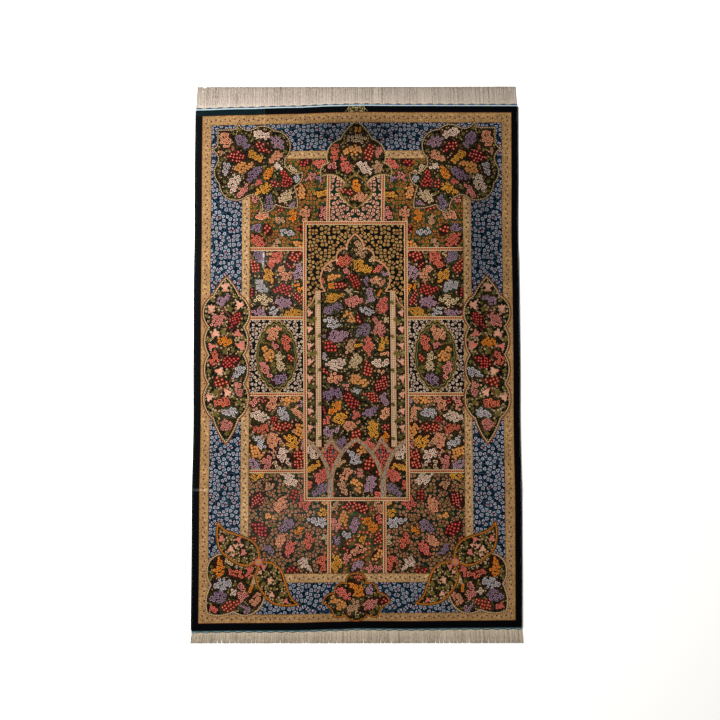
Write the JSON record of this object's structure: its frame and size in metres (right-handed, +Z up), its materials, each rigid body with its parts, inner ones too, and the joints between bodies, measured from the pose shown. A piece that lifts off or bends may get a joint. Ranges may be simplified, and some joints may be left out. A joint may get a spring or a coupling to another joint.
{
  "type": "persian rug",
  "caption": "Flat knotted silk rug with a panelled prayer-niche field, floral borders, overcast sides, flat-woven ends and cut fringes.",
  "frame": {"origin": "on the floor under the middle of the whole outline, fringes included", "axes": "+Y along the rug towards the pointed end of the niche, +X across, +Z up out of the pile"},
  "size_m": [1.005, 1.704, 0.0054],
  "materials": {
    "silk_pile": "clipped silk pile, patterned, soft sheen",
    "side_cord": "silk overcast cord, dark navy",
    "flat_weave": "flat weave with twined cords",
    "fringe": "undyed warp yarn, matt to soft sheen"
  },
  "bodies": {
    "root": {"rug_body": "silk_pile", "selvedge_left": "side_cord", "selvedge_right": "side_cord", "kilim_top": "flat_weave", "kilim_bottom": "flat_weave", "fringe_top": "fringe", "fringe_bottom": "fringe"}
  },
  "joints": []
}
